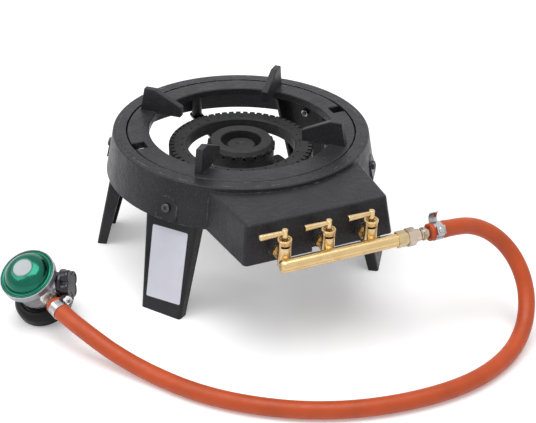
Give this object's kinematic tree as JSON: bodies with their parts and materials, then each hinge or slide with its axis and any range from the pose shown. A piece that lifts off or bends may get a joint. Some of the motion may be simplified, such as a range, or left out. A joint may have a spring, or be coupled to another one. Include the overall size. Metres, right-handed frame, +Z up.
{
  "type": "gas wok burner",
  "caption": "Low gas wok burner: ported ring burners in a round drum on channel legs, loose pan support, lever valves on a manifold, hose and tap regulator.",
  "frame": {"origin": "on the floor, under the axis of the round drum", "axes": "+Z up along the drum's axis, -Y towards the apron with the valves, +X towards the gas inlet"},
  "size_m": [0.5019, 0.4856, 0.1755],
  "materials": {
    "cast_iron_grey": "rough painted casting",
    "leg_grey": "satin dark grey stove paint",
    "support_iron": "rough enamelled casting",
    "burner_iron": "bare dark casting",
    "burner_brass": "machined, slightly dull",
    "pipe_brass": "polished",
    "plated_steel": "bright zinc plated",
    "regulator_silver": "smooth die cast",
    "hose_orange": "smooth, slightly glossy",
    "regulator_green": "high gloss",
    "black_plastic": "fine satin",
    "black_rubber": "matt",
    "pale_label": "printed foil, left blank"
  },
  "bodies": {
    "stand": {"housing": "cast_iron_grey", "drum_rim": "cast_iron_grey", "support_ledge": "cast_iron_grey", "leg_front_left": "leg_grey", "leg_front_right": "leg_grey", "leg_back_left": "leg_grey", "leg_back_right": "leg_grey", "leg_screws": "plated_steel", "leg_nuts": "plated_steel", "outer_burner_body": "burner_iron", "outer_burner_cap": "burner_iron", "middle_burner_body": "burner_iron", "middle_burner_cap": "burner_brass", "inner_burner_body": "burner_iron", "inner_burner_cap": "burner_brass", "front_carrier": "plated_steel", "rear_carrier": "plated_steel", "carrier_screws": "plated_steel", "burner_screws": "plated_steel", "manifold_tube": "pipe_brass", "gland_rings": "pipe_brass", "outlet_lock_nuts": "pipe_brass", "injectors": "pipe_brass", "inlet_hex": "pipe_brass", "hose_nipple": "plated_steel", "hose": "hose_orange", "burner_clamp_band": "plated_steel", "burner_clamp_screw": "plated_steel", "regulator_clamp_band": "plated_steel", "regulator_clamp_screw": "plated_steel", "regulator_socket": "black_plastic", "inlet_seal": "black_rubber", "regulator_body": "regulator_silver", "regulator_cover": "regulator_green", "rating_disc": "pale_label", "outlet_nipple": "plated_steel", "tap_hub": "black_plastic", "outer_valve_body": "pipe_brass", "inner_valve_body": "pipe_brass", "middle_valve_body": "pipe_brass"},
    "pan_support": {"pan_support": "support_iron"},
    "outer_valve": {"outer_valve_spindle": "pipe_brass", "outer_valve_lever": "pipe_brass"},
    "inner_valve": {"inner_valve_spindle": "pipe_brass", "inner_valve_lever": "pipe_brass"},
    "middle_valve": {"middle_valve_spindle": "pipe_brass", "middle_valve_lever": "pipe_brass"},
    "tap_knob": {"tap_knob": "black_plastic"},
    "locking_collar": {"regulator_collar": "black_plastic"}
  },
  "joints": [
    {"name": "pan_support_lift", "type": "slide", "parent": "stand", "child": "pan_support", "axis": [0, 0, 1], "range_m": [0, 0.08]},
    {"name": "outer_valve_turn", "type": "hinge", "parent": "stand", "child": "outer_valve", "pos_m": [-0.047, -0.2105, 0.1445], "axis": [0, 0, 1], "range_deg": [0, 90]},
    {"name": "inner_valve_turn", "type": "hinge", "parent": "stand", "child": "inner_valve", "pos_m": [-0.001, -0.2105, 0.1445], "axis": [0, 0, 1], "range_deg": [0, 90]},
    {"name": "middle_valve_turn", "type": "hinge", "parent": "stand", "child": "middle_valve", "pos_m": [0.045, -0.2105, 0.1445], "axis": [0, 0, 1], "range_deg": [0, 90]},
    {"name": "regulator_tap_turn", "type": "hinge", "parent": "stand", "child": "tap_knob", "pos_m": [-0.22568, -0.07078, 0.04689], "axis": [0.8211, -0.5426, 0.177], "range_deg": [0, 180]},
    {"name": "locking_collar_lift", "type": "slide", "parent": "stand", "child": "locking_collar", "axis": [-0.3744, -0.2781, 0.8846], "range_m": [0, 0.0025]}
  ]
}
